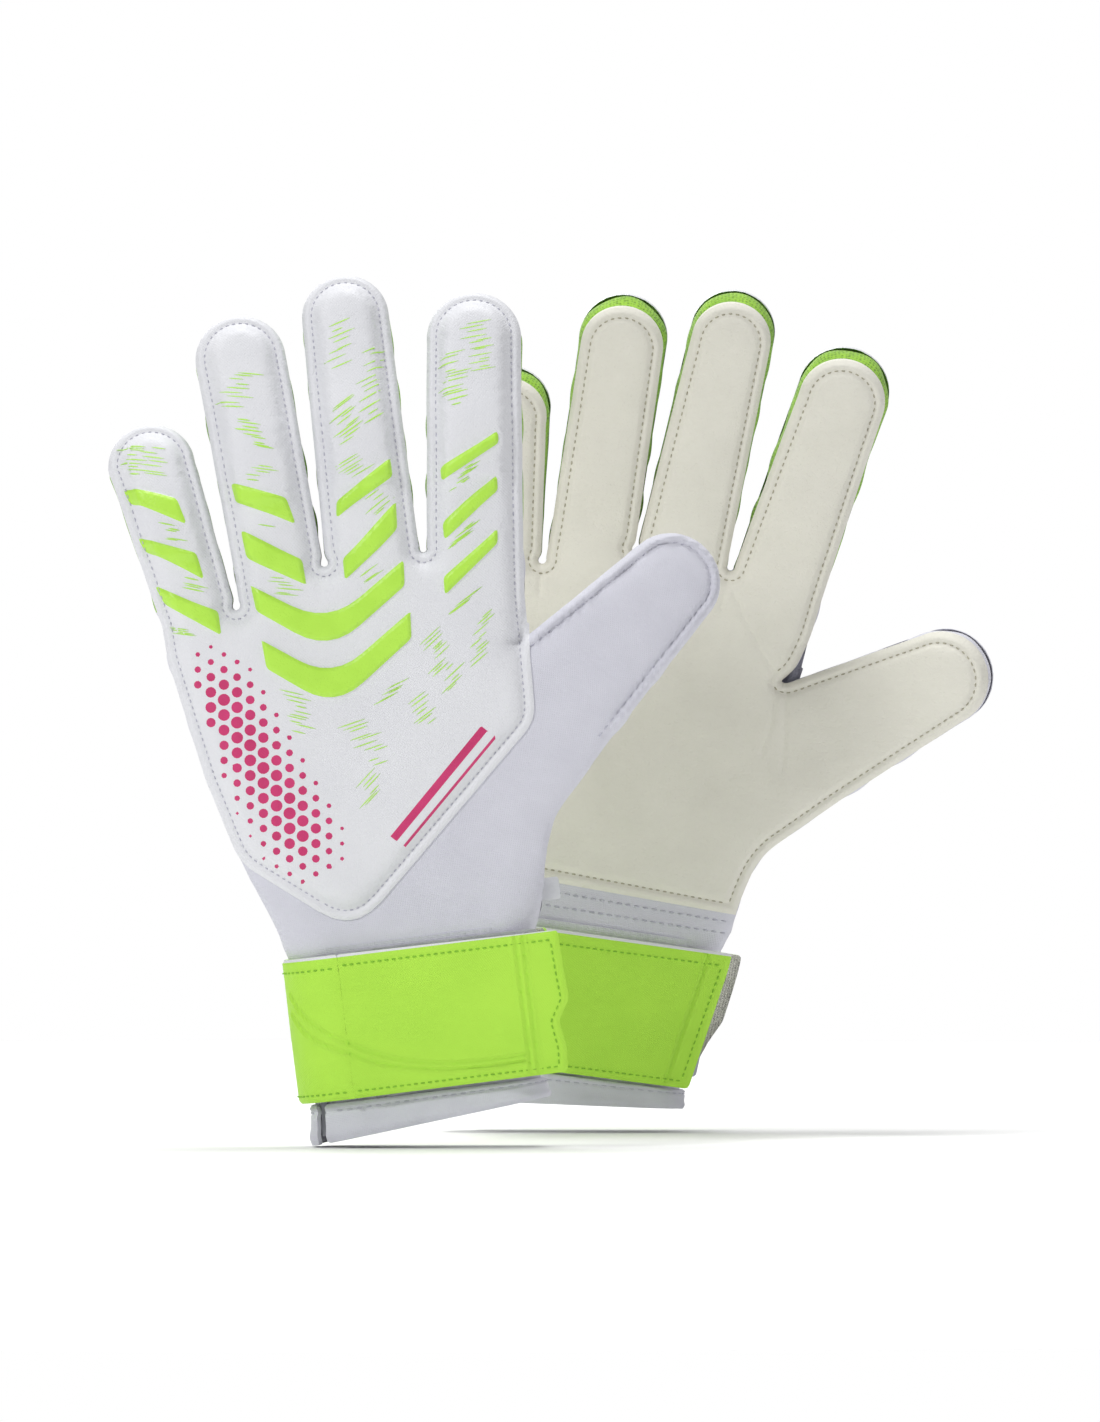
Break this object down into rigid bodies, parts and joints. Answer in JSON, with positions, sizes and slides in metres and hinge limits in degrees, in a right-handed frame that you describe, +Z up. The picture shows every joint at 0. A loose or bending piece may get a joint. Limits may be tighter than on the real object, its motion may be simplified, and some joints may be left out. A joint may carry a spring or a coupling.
{
  "type": "goalkeeper gloves",
  "caption": "Pair of goalkeeper gloves, fingers up: the front one shows its padded back, the rear one its latex palm. Fingers, thumbs, wrists and wrist straps bend.",
  "frame": {"origin": "centre of the left glove's wrist opening, at the bottom of its cuff", "axes": "+Z up towards the fingertips, +X to the viewer's right, towards both thumbs, +Y away from the viewer, from the left glove to the right one"},
  "size_m": [0.2581, 0.1658, 0.2486],
  "materials": {
    "white_back": "satin",
    "cream_latex": "matt",
    "lilac_fabric": "matt",
    "green_mesh": "matt",
    "neon_strap": "satin",
    "hook_tape": "matt",
    "loop_tape": "matt",
    "side_label": "satin",
    "neon_print": "satin",
    "pink_print": "satin",
    "thread": "matt"
  },
  "bodies": {
    "left_cuff": {"left_cuff_sleeve": "lilac_fabric", "left_cuff_hem": "lilac_fabric", "left_strap_wrap": "neon_strap", "left_loop_patch": "loop_tape"},
    "left_strap": {"left_strap_flap": "neon_strap", "left_hook_patch": "hook_tape"},
    "left_hand": {"left_palm_latex": "cream_latex", "left_palm_band": "lilac_fabric", "left_back_fabric": "lilac_fabric", "left_backhand_panel": "white_back", "left_side_label": "side_label"},
    "left_little_base": {"left_little_palm": "cream_latex", "left_little_gusset": "green_mesh", "left_little_back": "white_back"},
    "left_little_end": {"left_little_tip": "white_back"},
    "left_ring_base": {"left_ring_palm": "cream_latex", "left_ring_gusset": "green_mesh", "left_ring_back": "white_back"},
    "left_ring_end": {"left_ring_tip": "white_back"},
    "left_middle_base": {"left_middle_palm": "cream_latex", "left_middle_gusset": "green_mesh", "left_middle_back": "white_back"},
    "left_middle_end": {"left_middle_tip": "white_back"},
    "left_index_base": {"left_index_palm": "cream_latex", "left_index_gusset": "green_mesh", "left_index_back": "white_back"},
    "left_index_end": {"left_index_tip": "white_back"},
    "left_thumb_base": {"left_thumb_palm": "cream_latex", "left_thumb_back": "lilac_fabric"},
    "left_thumb_end": {"left_thumb_tip": "lilac_fabric"},
    "right_cuff": {"right_cuff_sleeve": "lilac_fabric", "right_cuff_hem": "lilac_fabric", "right_strap_wrap": "neon_strap", "right_loop_patch": "loop_tape"},
    "right_strap": {"right_strap_flap": "neon_strap", "right_hook_patch": "hook_tape"},
    "right_hand": {"right_palm_latex": "cream_latex", "right_palm_band": "lilac_fabric", "right_back_fabric": "lilac_fabric", "right_backhand_panel": "white_back"},
    "right_little_base": {"right_little_palm": "cream_latex", "right_little_gusset": "green_mesh", "right_little_back": "white_back"},
    "right_little_end": {"right_little_tip": "white_back"},
    "right_ring_base": {"right_ring_palm": "cream_latex", "right_ring_gusset": "green_mesh", "right_ring_back": "white_back"},
    "right_ring_end": {"right_ring_tip": "white_back"},
    "right_middle_base": {"right_middle_palm": "cream_latex", "right_middle_gusset": "green_mesh", "right_middle_back": "white_back"},
    "right_middle_end": {"right_middle_tip": "white_back"},
    "right_index_base": {"right_index_palm": "cream_latex", "right_index_gusset": "green_mesh", "right_index_back": "white_back"},
    "right_index_end": {"right_index_tip": "white_back"},
    "right_thumb_base": {"right_thumb_palm": "cream_latex", "right_thumb_back": "lilac_fabric"},
    "right_thumb_end": {"right_thumb_tip": "lilac_fabric"}
  },
  "joints": [
    {"name": "left_wrist", "type": "hinge", "parent": "left_cuff", "child": "left_hand", "pos_m": [-0.00664, 0, 0.05409], "axis": [-0.9925, 0, -0.1219], "range_deg": [-25, 25], "stiffness_Nm_per_rad": 1.2},
    {"name": "left_strap_open", "type": "hinge", "parent": "left_cuff", "child": "left_strap", "pos_m": [-0.02465, -0.0169, 0.02846], "axis": [0.1219, 0, -0.9925], "range_deg": [0, 150]},
    {"name": "left_little_knuckle", "type": "hinge", "parent": "left_hand", "child": "left_little_base", "pos_m": [-0.06727, 0.011, 0.1474], "axis": [-0.9925, 0, -0.1219], "range_deg": [-10, 85], "stiffness_Nm_per_rad": 0.25},
    {"name": "left_little_middle_joint", "type": "hinge", "parent": "left_little_base", "child": "left_little_end", "pos_m": [-0.07498, 0.01309, 0.17054], "axis": [-0.9925, 0, -0.1219], "range_deg": [-10, 90], "stiffness_Nm_per_rad": 0.15},
    {"name": "left_ring_knuckle", "type": "hinge", "parent": "left_hand", "child": "left_ring_base", "pos_m": [-0.04375, 0.011, 0.15936], "axis": [-0.9925, 0, -0.1219], "range_deg": [-10, 85], "stiffness_Nm_per_rad": 0.25},
    {"name": "left_ring_middle_joint", "type": "hinge", "parent": "left_ring_base", "child": "left_ring_end", "pos_m": [-0.04987, 0.01388, 0.19173], "axis": [-0.9925, 0, -0.1219], "range_deg": [-10, 90], "stiffness_Nm_per_rad": 0.15},
    {"name": "left_middle_knuckle", "type": "hinge", "parent": "left_hand", "child": "left_middle_base", "pos_m": [-0.01711, 0.011, 0.16313], "axis": [-0.9925, 0, -0.1219], "range_deg": [-10, 85], "stiffness_Nm_per_rad": 0.25},
    {"name": "left_middle_middle_joint", "type": "hinge", "parent": "left_middle_base", "child": "left_middle_end", "pos_m": [-0.02128, 0.01422, 0.19975], "axis": [-0.9925, 0, -0.1219], "range_deg": [-10, 90], "stiffness_Nm_per_rad": 0.15},
    {"name": "left_index_knuckle", "type": "hinge", "parent": "left_hand", "child": "left_index_base", "pos_m": [0.01229, 0.011, 0.16573], "axis": [-0.9925, 0, -0.1219], "range_deg": [-10, 85], "stiffness_Nm_per_rad": 0.25},
    {"name": "left_index_middle_joint", "type": "hinge", "parent": "left_index_base", "child": "left_index_end", "pos_m": [0.01231, 0.01388, 0.19886], "axis": [-0.9925, 0, -0.1219], "range_deg": [-10, 90], "stiffness_Nm_per_rad": 0.15},
    {"name": "left_thumb_knuckle", "type": "hinge", "parent": "left_hand", "child": "left_thumb_base", "pos_m": [0.03698, 0.011, 0.12302], "axis": [-0.7133, 0, 0.7009], "range_deg": [-10, 35], "stiffness_Nm_per_rad": 0.25},
    {"name": "left_thumb_middle_joint", "type": "hinge", "parent": "left_thumb_base", "child": "left_thumb_end", "pos_m": [0.05584, 0.01335, 0.14221], "axis": [-0.7133, 0, 0.7009], "range_deg": [-10, 50], "stiffness_Nm_per_rad": 0.15},
    {"name": "gloves_apart", "type": "slide", "parent": "left_cuff", "child": "right_cuff", "axis": [0, 1, 0], "range_m": [0, 0.15]},
    {"name": "right_wrist", "type": "hinge", "parent": "right_cuff", "child": "right_hand", "pos_m": [0.04682, 0.132, 0.05787], "axis": [0.9774, 0, -0.2113], "range_deg": [-25, 25], "stiffness_Nm_per_rad": 1.2},
    {"name": "right_strap_open", "type": "hinge", "parent": "right_cuff", "child": "right_strap", "pos_m": [0.02138, 0.1489, 0.03958], "axis": [0.2113, 0, 0.9774], "range_deg": [0, 150]},
    {"name": "right_little_knuckle", "type": "hinge", "parent": "right_hand", "child": "right_little_base", "pos_m": [0.02025, 0.121, 0.16592], "axis": [0.9774, 0, -0.2113], "range_deg": [-10, 85], "stiffness_Nm_per_rad": 0.25},
    {"name": "right_little_middle_joint", "type": "hinge", "parent": "right_little_base", "child": "right_little_end", "pos_m": [0.02057, 0.11891, 0.19032], "axis": [0.9774, 0, -0.2113], "range_deg": [-10, 90], "stiffness_Nm_per_rad": 0.15},
    {"name": "right_ring_knuckle", "type": "hinge", "parent": "right_hand", "child": "right_ring_base", "pos_m": [0.04639, 0.121, 0.16948], "axis": [0.9774, 0, -0.2113], "range_deg": [-10, 85], "stiffness_Nm_per_rad": 0.25},
    {"name": "right_ring_middle_joint", "type": "hinge", "parent": "right_ring_base", "child": "right_ring_end", "pos_m": [0.05126, 0.11812, 0.20206], "axis": [0.9774, 0, -0.2113], "range_deg": [-10, 90], "stiffness_Nm_per_rad": 0.15},
    {"name": "right_middle_knuckle", "type": "hinge", "parent": "right_hand", "child": "right_middle_base", "pos_m": [0.07279, 0.121, 0.16428], "axis": [0.9774, 0, -0.2113], "range_deg": [-10, 85], "stiffness_Nm_per_rad": 0.25},
    {"name": "right_middle_middle_joint", "type": "hinge", "parent": "right_middle_base", "child": "right_middle_end", "pos_m": [0.0809, 0.11778, 0.20024], "axis": [0.9774, 0, -0.2113], "range_deg": [-10, 90], "stiffness_Nm_per_rad": 0.15},
    {"name": "right_index_knuckle", "type": "hinge", "parent": "right_hand", "child": "right_index_base", "pos_m": [0.10141, 0.121, 0.15707], "axis": [0.9774, 0, -0.2113], "range_deg": [-10, 85], "stiffness_Nm_per_rad": 0.25},
    {"name": "right_index_middle_joint", "type": "hinge", "parent": "right_index_base", "child": "right_index_end", "pos_m": [0.11232, 0.11812, 0.18835], "axis": [0.9774, 0, -0.2113], "range_deg": [-10, 90], "stiffness_Nm_per_rad": 0.15},
    {"name": "right_thumb_knuckle", "type": "hinge", "parent": "right_hand", "child": "right_thumb_base", "pos_m": [0.11068, 0.121, 0.10862], "axis": [0.4431, 0, -0.8965], "range_deg": [-10, 35], "stiffness_Nm_per_rad": 0.25},
    {"name": "right_thumb_middle_joint", "type": "hinge", "parent": "right_thumb_base", "child": "right_thumb_end", "pos_m": [0.1348, 0.11865, 0.12054], "axis": [0.4431, 0, -0.8965], "range_deg": [-10, 50], "stiffness_Nm_per_rad": 0.15}
  ]
}
